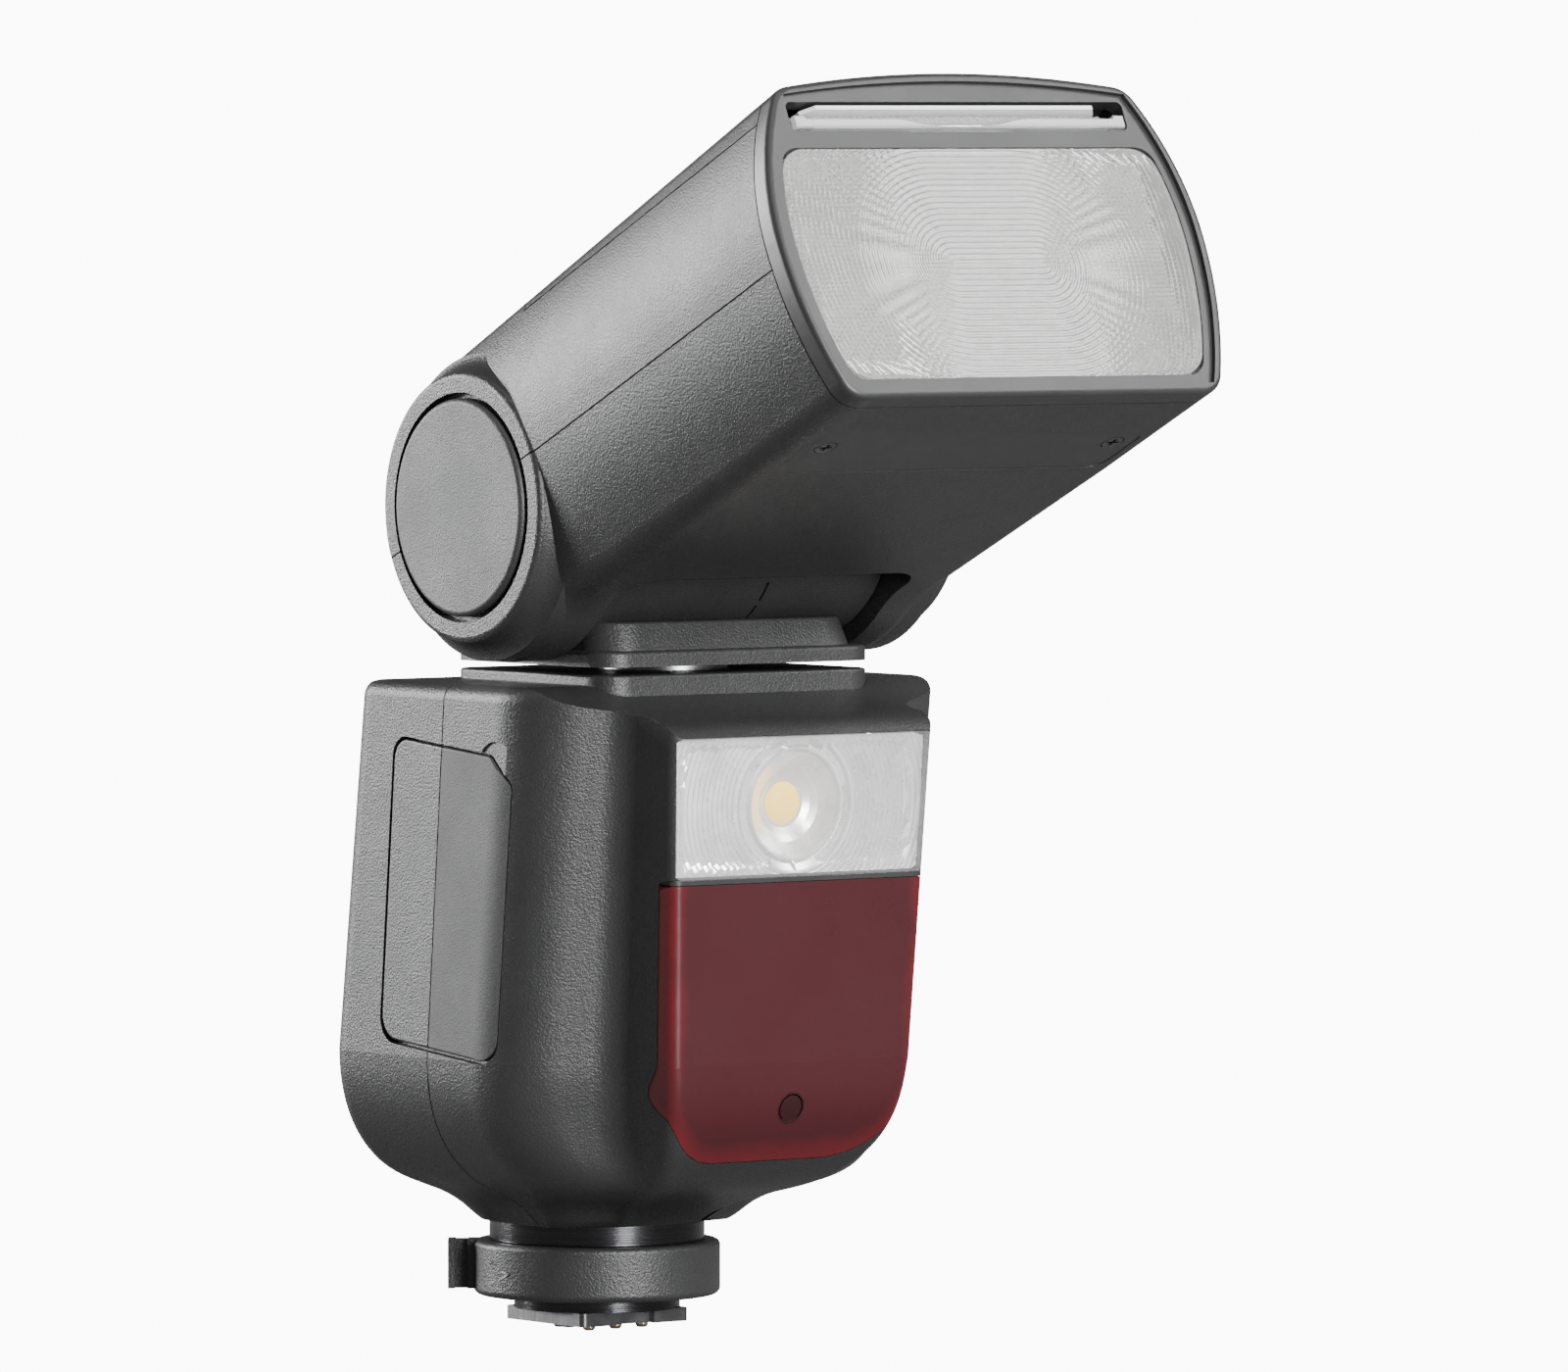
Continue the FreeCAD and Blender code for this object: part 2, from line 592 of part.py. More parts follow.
def flash_engine():
    """Zooming reflector and tube on guide rods; the motor grips and climbs a fixed rail."""
    outside = trough(26.5, 14.0, 20.0, 5.0, 40, 66)
    inside = trough(25.9, 13.4, 19.4, 4.4, 40.6, 66.1)
    tube_way = drum("x", (0, -43.6, 0), 2.0, 60)
    feature("reflector", one_solid(outside.cut(inside).cut(tube_way)), "head")
    tube = drum("x", (0, -43.6, 0), 1.7, 46)
    feature("flash_tube", tube, "head")
    carriage = head_block(-28.5, 28.5, 34.0, 38.0, -15.5, 5.5)
    rods = [drum("y", (x, -50, -15.6), 1.0, 46) for x in (-20.0, 20.0)]
    lugs = [head_block(x - 2.5, x + 2.5, 34.0, 38.0, -17.1, -14.0) for x in (-20.0, 20.0)]
    nut = head_block(-5, 5, 34.0, 38.0, -17.1, -12.0)
    arms = [head_block(s * 25 - 2, s * 25 + 2, 34.0, 48.0, -3.5, 3.5).cut(
            drum("x", (0, -43.6, 0), 1.75, 60)) for s in (-1, 1)]
    frame = carriage.multiFuse(lugs + [nut] + arms)
    ways = [drum("y", (x, -50, -15.6), 1.05, 60) for x in (-20.0, 20.0)]
    rail_way = drum("y", (0, -50, -15.4), 1.28, 60)
    feature("zoom_carriage", one_solid(frame.cut(ways + [rail_way])), "head")
    feature("guide_rods", Part.makeCompound(rods), "head")
    rail = piece("drive_rail", "head")
    add_rod(rail, "y", ("0", "-72", "-15.4"), "45", "1.2")
    motor = head_block(-6, 6, 29.6, 33.9, -17.1, -9.5).cut(rail_way)
    feature("zoom_motor", soften(motor, 0.5, lambda edge: edge.BoundBox.YLength > 4), "head")


# ---------------------------------------------------------------- yoke
def plate_outline(inset):
    """Plan of the swivel plate and of the plinth under it."""
    half = size("yoke_half") - inset
    front, rear = -size("yoke_front") + inset, size("yoke_rear") - inset
    corner = size("yoke_corner") - inset
    return [(half, rear, corner), (half, front, corner), (-half, front, corner),
            (-half, rear, corner)]


def yoke_parts():
    """Swivel plate with its hood, the hinge barrel, and the hollow swivel shaft."""
    axis = (0, size("tilt_y"), size("tilt_z"))
    low, lip = size("yoke_low_z"), size("yoke_lip")
    plate = slab(plate_outline(0), "xy", low, lip)
    plate = soften(plate, 0.6, at_height(low + lip))
    levels = []
    for z, half, front in ((low, 22.6, -33.9), (size("hood_top_z"), 21.4, -31.6)):
        outline = [(half, -6.0, 3.3), (half, front, 5.5), (-half, front, 5.5),
                   (-half, -6.0, 3.3)]
        levels.append(rounded_wire(outline, lambda a, b: Vector(a, b, z)))
    hood = Part.makeLoft(levels, True, True)
    hood = soften(hood, 0.5, at_height(size("hood_top_z")))
    barrel = drum("x", axis, size("barrel_r"), 2 * size("barrel_half"))
    bore = drum("z", (0, size("swivel_y"), low), size("swivel_bore_r"), 60)
    feature("yoke_base", one_solid(plate.fuse(hood).cut(barrel).cut(bore)))
    hollow = drum("x", axis, size("barrel_bore_r"), 2 * size("barrel_half") - 5)
    cable_way = drum("z", (0, size("swivel_y"), low), size("swivel_bore_r"), 30)
    stub_holes = drum("x", axis, size("shaft_r"), 60)
    index_line = drum("x", (4.6, *axis[1:]), size("barrel_r") + 1, 0.4).cut(
        drum("x", axis, size("barrel_r") - 0.4, 60))
    marks = [index_line.common(block(0, 9, -60, -20, *span))
             for span in ((98.4, 101.6), (102.3, 105.0))]
    feature("hinge_barrel", one_solid(barrel.cut([hollow, cable_way, stub_holes] + marks)))
    stubs = []
    for side in (-1, 1):
        length = size("shaft_end") - 20.0
        stub = drum("x", (side * (20.0 + length / 2), axis[1], axis[2]), size("shaft_r"),
                    length)
        way = drum("x", axis, size("shaft_r") - 2.2, 90)
        stubs.append(stub.cut(way))
    feature("hinge_shafts", Part.makeCompound(stubs))
    shaft = piece("swivel_shaft")
    add_rod(shaft, "z", ("0", "$swivel_y", "$swivel_low_z"),
            "$yoke_low_z - $swivel_low_z", "$swivel_r")
    add_rod(shaft, "z", ("0", "$swivel_y", "$swivel_low_z"),
            "$yoke_low_z - $swivel_low_z", "$swivel_bore_r", cut=True)
    retainer = piece("swivel_retainer")
    add_rod(retainer, "z", ("0", "$swivel_y", "$plinth_low - 2.4"), "2", "$swivel_r + 4")
    add_rod(retainer, "z", ("0", "$swivel_y", "$plinth_low - 2.4"), "2", "$swivel_r",
            cut=True)


# ---------------------------------------------------------------- body
def side_outline(inset):
    """Five-cornered panel on the flash's side, as (y, z, radius)."""
    corners = [(-2.0, 83.4), (-24.4, 81.5), (-28.6, 77.6), (-24.5, 39.0), (1.6, 41.4)]
    middle_y = sum(y for y, z in corners) / 5
    middle_z = sum(z for y, z in corners) / 5
    shrink_y = 1 - inset / 14.0
    shrink_z = 1 - inset / 21.0
    radii = (3.0, 1.8, 1.8, 3.5, 3.5)
    return [(middle_y + (y - middle_y) * shrink_y, middle_z + (z - middle_z) * shrink_z, r)
            for (y, z), r in zip(corners, radii)]


def window_prism(low, high, half, bottom_r):
    """Outline of a pane on the tapering pod's front, pushed through the wall."""
    low_half = half - (high - low) * size("pane_taper")
    outline = [(-half, high, 0.6), (half, high, 0.6), (low_half, low, bottom_r),
               (-low_half, low, bottom_r)]
    return slab(outline, "xz", -70, 34)


def rear_block(x0, x1, y0, y1, w0, w1, radius=0.0):
    """Box or rounded prism standing on the raked rear face, placed in the row frame."""
    if radius:
        outline = [(x1, w0, radius), (x1, w1, radius), (x0, w1, radius), (x0, w0, radius)]
        shape = slab(outline, "xz", y0, y1 - y0)
    else:
        shape = block(x0, x1, y0, y1, w0, w1)
    return to_rear(shape)


def to_rear(shape):
    shape.Placement = rear_frame.multiply(shape.Placement)
    return shape


rear_frame = Placement(Vector(0, size("rear_y"), size("rear_z")),
                       Rotation(Vector(1, 0, 0), size("rear_rake")))
KEY_X = [(i - 1.5) * size("key_pitch") for i in range(4)]
SMALL_KEYS = {"menu_button": (-1, -6.0), "mode_button": (1, -6.0),
              "test_button": (1, -17.0)}


def casing():
    """Front and rear shells with every opening they need."""
    gap = size("run_gap")
    behind_panes = body_outer.copy()
    behind_panes.translate(Vector(0, size("panel_deep") + 0.2, 0))
    panel_space = window_prism(size("panel_low"), size("led_low"), size("panel_half"),
                               size("panel_r")).cut(behind_panes)
    window_space = window_prism(size("led_low") - 1, size("led_top"), size("window_half"),
                                0.6).cut(behind_panes)
    side_recess = slab(side_outline(-0.42), "yz", -60,
                       60 - size("body_half") + size("recess"))
    front_cuts = [window_space, panel_space,
                  drum("x", (-36, -25.9, 79.2), 4.4, 0.6),
                  block(0, 60, -size("battery_front") - gap, -size("battery_rear") + gap,
                        size("battery_low") - gap, size("battery_high") + gap),
                  block(33.0, 60, -23.5, -15.5, 82.3, 86.7),
                  side_recess,
                  block(-40, -30, -25.0, -16.0, 64.0, 68.2),
                  drum("x", (-35, -20.5, 52.0), 3.05, 10)]
    plinth_hole = slab(plate_outline(-0.08), "xy", size("plinth_low"), 30)
    shaft_hole = drum("z", (0, size("swivel_y"), 85), 14, 8)
    key_cuts = [rear_block(x - size("key_half") - gap, x + size("key_half") + gap, -9, 5,
                           size("key_row") - size("key_tall") - gap,
                           size("key_row") + size("key_tall") + gap, 1.2) for x in KEY_X]
    rear_cuts = key_cuts + [
        rear_block(-size("lcd_half"), size("lcd_half"), -9, 5, size("lcd_low"),
                   size("lcd_high"), 1.5),
        to_rear(drum("y", (0, 0, size("dial_w")), 4.0, 20)),
        rear_block(18.5 - gap, 26.5 + gap, -9, 5, -12.7 - gap, -10.3 + gap, 0.8)]
    rear_cuts += [to_rear(drum("y", (side * size("small_key_x"), 0, w),
                               size("small_key_r") + gap, 20))
                  for side, w in SMALL_KEYS.values()]
    dial_seat = to_rear(drum("y", (0, 4.2, size("dial_w")), size("dial_r") + gap, 10))
    screw_ways = [drum("y", (x, 14, z), 1.7, 16) for x, z in SCREWS]
    front = body_wall.common(seam_space(True)).cut(front_cuts + [plinth_hole, shaft_hole])
    rear = body_wall.common(seam_space(False)).cut(
        rear_cuts + [plinth_hole, shaft_hole, dial_seat] + screw_ways
        + [side_recess])
    feature("front_shell", one_solid(front))
    feature("rear_shell", one_solid(rear))


SCREWS = [(-29.0, 40.0), (29.0, 40.0), (-29.0, 84.0), (29.0, 84.0)]


def panes():
    """LED window, divider strip and dark red sensor panel in the pod's front."""
    gap = 0.08
    half = size("panel_half") - gap
    top, low = size("led_top") - gap, size("led_low")
    split = size("panel_top")
    behind = body_outer.copy()
    behind.translate(Vector(0, size("panel_deep"), 0))
    skin = body_outer.cut(behind)
    window = skin.common(body_wall).common(
        window_prism(low, top, size("window_half") - gap, 0.6))
    reach = half - 0.3
    divider = skin.common(slab([(-reach, low - gap, 0.2), (reach, low - gap, 0.2),
                                (reach, split + gap, 0.2), (-reach, split + gap, 0.2)],
                               "xz", -70, 40))
    panel = skin.common(window_prism(size("panel_low") + gap, split, half,
                                     size("panel_r") - gap))
    mark = (0.4, -45.4, 32.6)
    ring = drum("y", mark, 2.0, 2.0).cut(drum("y", mark, 1.8, 4))
    panel = panel.cut(ring)
    feature("led_window", one_solid(window))
    feature("window_divider", one_solid(divider))
    feature("sensor_panel", one_solid(panel))
    dish_y = -45.2
    centre = Vector(0, dish_y, size("led_z"))
    bowl = Part.makeCone(size("led_reflector_r"), 2.6, 4.3, centre, Vector(0, 1, 0))
    flange = block(-19.2, 19.2, dish_y, dish_y + 0.6, 66.4, 83.0)
    hollow = Part.makeCone(size("led_reflector_r") - 0.8, 1.8, 4.5,
                           centre - Vector(0, 0.1, 0), Vector(0, 1, 0))
    feature("led_reflector", one_solid(bowl.fuse(flange).cut(hollow)))
    board = block(-16, 16, -40.1, -38.9, 67.0, 82.0)
    chip = drum("y", (0, -40.6, size("led_z")), 1.7, 1.2)
    feature("led_emitter", one_solid(board.fuse(chip)))
    eyes = [drum("y", (x, -38.0, z), 2.1, 2.0) for x, z in
            ((0, 36.0), (-8.0, 46.0), (8.0, 46.0))]
    base = block(-17, 17, -37.1, -35.9, 31.0, 58.0)
    feature("sensor_module", base.multiFuse(eyes))


def swivel_plinth():
    plinth = slab(plate_outline(0), "xy", size("plinth_low"),
                  size("plinth_top") - size("plinth_low"))
    plinth = soften(plinth, 0.4, at_height(size("plinth_top")))
    hole = drum("z", (0, size("swivel_y"), 90), size("swivel_r") + size("fit_gap"), 20)
    feature("swivel_plinth", plinth.cut(hole))


def side_panels():
    """Rubber port cover in front of the seam, fixed inlay behind it, and the sockets."""
    half, deep = size("body_half"), size("recess") - 0.1
    sheet_of = slab(side_outline(0.0), "yz", -half, deep)
    sheet_of = soften(sheet_of, 0.35, at_height(-half, axis=0))
    cover_part = sheet_of.common(seam_space(True))
    cover_part.translate(Vector(0, -0.12, 0))
    inlay = sheet_of.common(seam_space(False))
    inlay.translate(Vector(0, 0.12, 0))
    feature("port_cover", one_solid(cover_part.common(body_outer)))
    feature("side_inlay", one_solid(inlay.common(body_outer)))
    usb = block(-34.6, -27.0, -24.9, -16.1, 64.1, 68.1)
    usb = usb.cut(block(-40, -28.0, -24.5, -16.5, 64.5, 67.7)).fuse(
        block(-33.8, -27.5, -23.5, -17.5, 65.8, 66.4))
    feature("usb_socket", one_solid(usb))
    jack = drum("x", (-30.6, -20.5, 52.0), 3.0, 8.0)
    feature("sync_jack", jack.cut(drum("x", (-31.6, -20.5, 52.0), 1.25, 6.0)))


def power_parts():
    """Battery pack that slides out of the side, its latch, contacts and capacitor."""
    y0, y1 = -size("battery_front"), -size("battery_rear")
    z0, z1 = size("battery_low"), size("battery_high")
    end = body_wall.common(block(20, 60, y0, y1, z0, z1))
    pack = block(size("body_half") - size("battery_deep"), size("body_half") - 1.0,
                 y0, y1, z0, z1).common(body_outer)
    grip = [drum("z", (size("body_half") + 0.6, y, (z0 + z1) / 2), 1.0, 26)
            for y in (-21.8, -19.0, -16.2)]
    feature("battery_pack", one_solid(pack.fuse(end).cut(grip)))
    contacts = [block(-10.4, -8.6, y, y + 2.0, 50, 66) for y in (-24.6, -21.3, -18.0)]
    feature("battery_contacts", Part.makeCompound(contacts))
    latch = block(33.2, 36.7, -23.2, -18.8, 82.6, 86.4)
    feature("battery_latch", soften(latch, 0.5, lambda edge: edge.CenterOfMass.x > 36.6))
    can = piece("main_capacitor")
    add_rod(can, "z", ("-18.2", "-24", "34"), "26", "$capacitor_r")
    round_edges(can, "0.8", at_height(60))
    board = piece("main_board")
    add_box(board, ("-30", "-9.5 + 3.0", "28"), ("30", "-9.5 + 4.6", "82"))


def rear_controls():
    """Display, four soft keys, dial with its set key, and the small keys."""
    proud = "$key_proud"
    window = piece("lcd_window", "rear")
    add_box(window, ("-$lcd_half + 0.1", "-1.6", "$lcd_low + 0.1"),
            ("$lcd_half - 0.1", "0.15", "$lcd_high - 0.1"))
    round_edges(window, "1.4", along((0, 1, 0)))
    module = piece("lcd_module", "rear")
    add_box(module, ("-$lcd_half + 1", "-4.6", "$lcd_low + 1"),
            ("$lcd_half - 1", "-1.7", "$lcd_high - 1"))
    for i, x in enumerate(KEY_X, start=1):
        key = piece(f"soft_key_{i}", "rear")
        at = f"({i} - 2.5) * $key_pitch"
        add_box(key, (f"{at} - $key_half", "-3.2", "$key_row - $key_tall"),
                (f"{at} + $key_half", proud, "$key_row + $key_tall"))
        round_edges(key, "0.9", along((0, 1, 0)))
        round_edges(key, "0.35", at_height(size("key_proud"), axis=1))
    for name, (side, w) in SMALL_KEYS.items():
        key = piece(name, "rear")
        add_rod(key, "y", (f"{side} * $small_key_x", "-3.2", f"{w}"), f"3.2 + {proud}",
                "$small_key_r")
        round_edges(key, "0.4", lambda edge: abs(edge.CenterOfMass.y
                                                 - size("key_proud")) < 0.01)
    switch = piece("power_switch", "rear")
    add_box(switch, ("20.0", "-3.0", "-12.7"), ("24.0", "1.2", "-10.3"))
    dial = piece("control_dial", "rear")
    add_rod(dial, "y", ("0", "-0.6", "$dial_w"), "2.6", "$dial_r")
    add_rod(dial, "y", ("0", "-6", "$dial_w"), "6", "3.7")
    add_rod(dial, "y", ("0", "-8", "$dial_w"), "20", "1.6", cut=True)
    add_rod(dial, "y", ("0", "0.2", "$dial_w"), "6", "$dial_hub_r", cut=True)
    round_edges(dial, "0.5", lambda edge: abs(edge.CenterOfMass.y - 2.0) < 0.01)
    centre = piece("set_button", "rear")
    add_rod(centre, "y", ("0", "0.9", "$dial_w"), "1.3", "$set_r")
    add_rod(centre, "y", ("0", "-7", "$dial_w"), "8", "1.5")
    shell_screws = [screw((x, 14.0, z), "y", 1.5, 0.9, 7, 1) for x, z in SCREWS]
    for item, (x, z) in zip(shell_screws, SCREWS):
        item.translate(Vector(0, rear_at(z) - 14.0 - 0.4, 0))
    feature("shell_screws", Part.makeCompound(shell_screws))


def rear_at(z):
    """Depth of the raked rear face at a height."""
    return size("rear_y") - (z - size("rear_z")) * math.tan(math.radians(size("rear_rake")))


# ---------------------------------------------------------------- foot
def foot():
    """Neck collar with its core, lock ring, boss, shoe plate, pins and lock pin."""
    gap = size("ring_gap")
    core_r = size("boss_r") + 1.2
    collar = Part.makeCylinder(size("neck_r"), size("neck_top") - size("neck_low"),
                               Vector(0, 0, size("neck_low")))
    collar = collar.common(Part.makeCylinder(30, 14.4 - size("neck_low"),
                                             Vector(0, 0, size("neck_low"))))
    core = Part.makeCylinder(core_r, size("neck_low") - size("ring_low"),
                             Vector(0, 0, size("ring_low")))
    pin_way = drum("z", (0, 6.8, 5), size("lock_pin_r") + size("fit_gap"), 24)
    feature("neck_collar", collar.fuse(core).cut(pin_way))
    low, high = size("ring_low") + gap, size("neck_low") - gap
    ring = Part.makeCylinder(size("ring_r"), high - low, Vector(0, 0, low))
    ring = soften(ring, 1.0, at_height(low))
    ring = soften(ring, 0.8, at_height(high))
    lug = block(-2.4, 2.4, 14, 21.0, low + 0.8, high)
    waist = [block(side * 2.4 - 1.2, side * 2.4 + 1.2, 18.2, 20.0, low - 1, high + 1)
             for side in (-1, 1)]
    lug = lug.cut(waist)
    lug.rotate(Vector(), Vector(0, 0, 1), 53.1)
    ring = ring.fuse(lug).cut(drum("z", (0, 0, 7), core_r + size("fit_gap"), 30))
    feature("lock_ring", one_solid(ring))
    boss = piece("shoe_boss")
    add_rod(boss, "z", ("0", "0", "$boss_low"), "$ring_low - $boss_low", "$boss_r")
    add_rod(boss, "z", ("0", "6.8", "0"), "8", "$lock_pin_r + $fit_gap", cut=True)
    plate = piece("shoe_plate")
    add_box(plate, ("-$shoe_x / 2", "-$shoe_y / 2", "0"),
            ("$shoe_x / 2", "$shoe_y / 2", "$shoe_thick"))
    round_edges(plate, "0.8", along((0, 0, 1)))
    add_box(plate, ("-3.2", "-$shoe_y / 2 - 1", "-1"), ("3.2", "-$shoe_y / 2 + 1.2", "3"),
            cut=True)
    add_box(plate, ("-6.8", "-6.4", "-1"), ("6.8", "4.6", "3"), cut=True)
    add_rod(plate, "z", ("0", "6.8", "-1"), "4", "$lock_pin_r + $fit_gap", cut=True)
    pad = piece("shoe_insert")
    add_box(pad, ("-6.75", "-6.35", "0.1"), ("6.75", "4.55", "$shoe_thick"))
    pins = []
    for x, y in PINS:
        pin = Part.makeCylinder(size("pin_r"), 1.6 + size("pin_reach"),
                                Vector(x, y, -size("pin_reach")))
        pins.append(soften(pin, 0.5, at_height(-size("pin_reach"))))
    feature("contact_pins", Part.makeCompound(pins))
    for x, y in PINS:
        add_rod(pad, "z", (f"{x}", f"{y}", "-1"), "2.6", "$pin_r", cut=True)
    pin = piece("lock_pin")
    add_rod(pin, "z", ("0", "6.8", "-1.6"), "10", "$lock_pin_r")
    round_edges(pin, "0.5", at_height(-1.6))


PINS = [(0.0, 0.0), (-4.6, -4.4), (0.0, -4.4), (4.6, -4.4), (-4.6, 2.6)]

head_shells()
head_front()
head_discs()
flash_engine()
yoke_parts()
casing()
panes()
swivel_plinth()
side_panels()
power_parts()
rear_controls()
foot()
doc.recompute()

for obj in doc.Objects:
    if "Invalid" in obj.State or "Error" in obj.State:
        raise RuntimeError(f"{obj.Label} is {obj.State}")
for obj in pieces:
    if obj.Shape.isNull() or not obj.Shape.isValid() or not obj.Shape.Solids:
        raise RuntimeError(f"{obj.Label} has no valid shape")
for obj in pieces:
    obj.Shape.exportStep(f"parts/{obj.Label}.step")
print(len(pieces), "pieces")
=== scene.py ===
"""Speedlight flash: materials, fine detail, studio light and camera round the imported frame."""
import bpy
import bmesh
import json
import math
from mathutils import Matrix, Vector


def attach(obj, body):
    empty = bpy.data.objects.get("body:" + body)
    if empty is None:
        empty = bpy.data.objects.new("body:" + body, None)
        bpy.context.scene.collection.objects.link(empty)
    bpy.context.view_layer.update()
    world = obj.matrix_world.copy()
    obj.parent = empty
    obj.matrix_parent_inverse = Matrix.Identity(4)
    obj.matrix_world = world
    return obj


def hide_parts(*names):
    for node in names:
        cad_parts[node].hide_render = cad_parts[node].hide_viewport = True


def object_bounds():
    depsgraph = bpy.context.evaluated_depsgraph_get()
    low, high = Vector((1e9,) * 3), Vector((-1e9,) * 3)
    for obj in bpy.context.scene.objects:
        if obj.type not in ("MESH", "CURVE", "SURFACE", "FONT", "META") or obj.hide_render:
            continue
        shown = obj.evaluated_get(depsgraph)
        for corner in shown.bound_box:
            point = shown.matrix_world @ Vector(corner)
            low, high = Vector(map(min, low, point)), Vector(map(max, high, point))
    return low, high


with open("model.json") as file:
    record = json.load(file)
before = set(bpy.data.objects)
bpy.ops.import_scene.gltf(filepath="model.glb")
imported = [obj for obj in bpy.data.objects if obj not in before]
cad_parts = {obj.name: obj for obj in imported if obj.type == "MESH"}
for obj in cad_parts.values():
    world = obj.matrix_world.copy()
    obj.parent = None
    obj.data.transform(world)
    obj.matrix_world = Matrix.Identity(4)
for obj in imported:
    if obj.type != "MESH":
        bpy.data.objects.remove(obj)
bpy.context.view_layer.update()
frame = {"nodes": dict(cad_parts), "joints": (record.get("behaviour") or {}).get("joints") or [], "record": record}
nodes = frame["nodes"]
joints = {joint["name"]: joint for joint in frame["joints"]}
MM = 0.001
PER_MM = (1000, 1000, 1000)  # mapping scale that turns object coordinates into millimetres
WHITE = (1.0, 1.0, 1.0, 1.0)
LED_Z = 74.8  # height of the LED's centre above the foot, in millimetres

# The head's own frame, in millimetres: x across, u forward along the tilted head, v up from
# its axis. It starts at the tilt joint, and the zoom slides along u.
PIVOT_Y, PIVOT_Z = (round(part / MM, 3) for part in joints["head_tilt"]["pos_m"][1:])
TILT_COS, TILT_SIN = (round(abs(part), 5) for part in joints["zoom_slide"]["axis"][1:])


# ---------------------------------------------------------------- material helpers
class Material:
    """A node material with its Principled shader and small helpers for its inputs."""

    def __init__(self, name):
        self.mat = bpy.data.materials.new(name)
        self.mat.use_nodes = True
        self.tree = self.mat.node_tree
        self.shader = self.tree.nodes["Principled BSDF"]

    def set(self, **inputs):
        """Set constants on the shader; an underscore stands for a space."""
        for key, value in inputs.items():
            self.shader.inputs[key.replace("_", " ")].default_value = value

    def node(self, kind, **props):
        """Add a node and set its inputs or its properties."""
        made = self.tree.nodes.new(kind)
        for key, value in props.items():
            if key in made.inputs:
                made.inputs[key].default_value = value
            else:
                setattr(made, key, value)
        return made

    def link(self, source, target):
        """Join an output to an input."""
        self.tree.links.new(source, target)

    def place(self, scale=(1, 1, 1)):
        """Object coordinates, scaled."""
        where = self.node("ShaderNodeTexCoord")
        mapping = self.node("ShaderNodeMapping", Scale=scale)
        self.link(where.outputs["Object"], mapping.inputs["Vector"])
        return mapping.outputs["Vector"]

    def axes(self):
        """Separate object coordinates, in millimetres."""
        made = self.node("ShaderNodeSeparateXYZ")
        self.link(self.place(PER_MM), made.inputs["Vector"])
        return made.outputs

    def noise(self, scale, detail, rough, vector=None):
        """Noise factor, over object coordinates unless a vector is given."""
        made = self.node("ShaderNodeTexNoise", Scale=scale, Detail=detail, Roughness=rough)
        self.link(vector or self.place(), made.inputs["Vector"])
        return made.outputs["Fac"]

    def ramp(self, value, first, last, low=0.3, high=0.7):
        """Map a factor between two stops onto two colours or grey levels.

        The stops are normally those between which a noise texture spends most of its area.
        """
        made = self.node("ShaderNodeValToRGB")
        for stop, at, shade in zip(made.color_ramp.elements, (low, high), (first, last)):
            stop.position = at
            stop.color = rgba(shade)
        self.link(value, made.inputs["Fac"])
        return made.outputs["Color"]

    def span(self, value, first, last, low=0.3, high=0.7):
        """Map a factor between two stops onto two numbers."""
        made = self.node("ShaderNodeMapRange")
        for key, number in (("From Min", low), ("From Max", high),
                            ("To Min", first), ("To Max", last)):
            made.inputs[key].default_value = number
        self.link(value, made.inputs["Value"])
        return made.outputs["Result"]

    def math(self, kind, a, b=None):
        """A math node on sockets or numbers."""
        made = self.node("ShaderNodeMath", operation=kind)
        for socket, value in zip(made.inputs, (a, b)):
            if value is None:
                continue
            if isinstance(value, (int, float)):
                socket.default_value = value
            else:
                self.link(value, socket)
        return made.outputs[0]

    def beyond(self, value, limit):
        """How far a value is past a limit, or nothing."""
        return self.math("MAXIMUM", self.math("SUBTRACT", value, limit), 0.0)

    def reach(self, a, b):
        """Length of a two-part offset."""
        return self.math("SQRT", self.math("ADD", self.math("MULTIPLY", a, a),
                                           self.math("MULTIPLY", b, b)))

    def bump(self, height, distance, strength=1.0):
        """Relief on the shader, with its distance in metres."""
        made = self.node("ShaderNodeBump", Distance=distance, Strength=strength)
        self.link(height, made.inputs["Height"])
        self.link(made.outputs["Normal"], self.shader.inputs["Normal"])

    def colour(self, source):
        """Feed the base colour."""
        self.link(source, self.shader.inputs["Base Color"])

    def rough(self, source):
        """Feed the roughness."""
        self.link(source, self.shader.inputs["Roughness"])


def rgba(value):
    """Opaque colour from a grey level or from its red, green and blue."""
    if isinstance(value, (int, float)):
        return (value, value, value, 1.0)
    return (*value[:3], 1.0)


# ---------------------------------------------------------------- materials
def moulded(name, tone, roughness, grain, depth):
    """Spark-textured moulded plastic: fine grain, faint mottling, slightly worn gloss."""
    made = Material(name)
    fine = made.noise(grain, 2.0, 0.6)
    broad = made.noise(95.0, 4.0, 0.6)
    speck = 0.12
    low, high = tone * (1 - speck), tone * (1 + speck)
    shade = made.math("ADD", made.span(fine, low * 0.5, high * 0.5),
                      made.span(broad, low * 0.5, high * 0.5, 0.35, 0.65))
    tint = made.node("ShaderNodeCombineColor")
    made.link(shade, tint.inputs["Red"])
    made.link(made.math("MULTIPLY", shade, 1.01), tint.inputs["Green"])
    made.link(made.math("MULTIPLY", shade, 1.02), tint.inputs["Blue"])
    made.colour(tint.outputs["Color"])
    made.rough(made.span(broad, roughness - 0.03, roughness + 0.04))
    made.bump(fine, depth)
    made.set(Specular_IOR_Level=0.5)
    return made.mat


